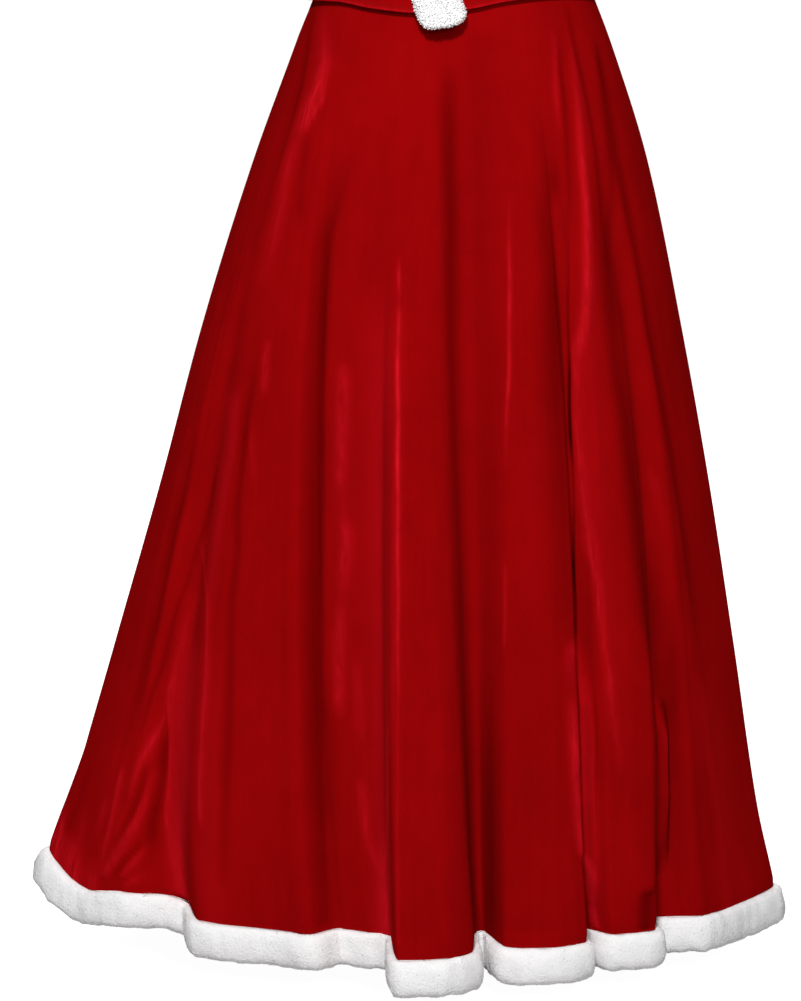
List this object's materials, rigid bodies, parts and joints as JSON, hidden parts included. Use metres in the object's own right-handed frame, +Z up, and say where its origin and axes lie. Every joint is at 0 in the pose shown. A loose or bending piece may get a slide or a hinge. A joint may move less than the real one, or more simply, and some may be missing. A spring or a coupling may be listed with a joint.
{
  "type": "christmas costume dress",
  "caption": "Long red velvet dress in its worn shape, hollow, with a flared folded skirt, a white plush hem band and a plush strip down the front bodice.",
  "frame": {"origin": "between the two shoulder seams at neck height, where the wearer's shoulders carry the dress", "axes": "+Z up, the front faces -Y, +X towards the wearer's left side; metres"},
  "size_m": [0.787, 0.608, 1.4353],
  "materials": {
    "red_velvet": "short-pile stretch velvet, soft sheen",
    "white_plush": "matte curly pile"
  },
  "bodies": {
    "root": {"skirt_front": "red_velvet", "skirt_back": "red_velvet", "hem_fur_band": "white_plush", "bodice_front": "red_velvet", "bodice_back": "red_velvet", "front_fur_strip": "white_plush"}
  },
  "joints": []
}
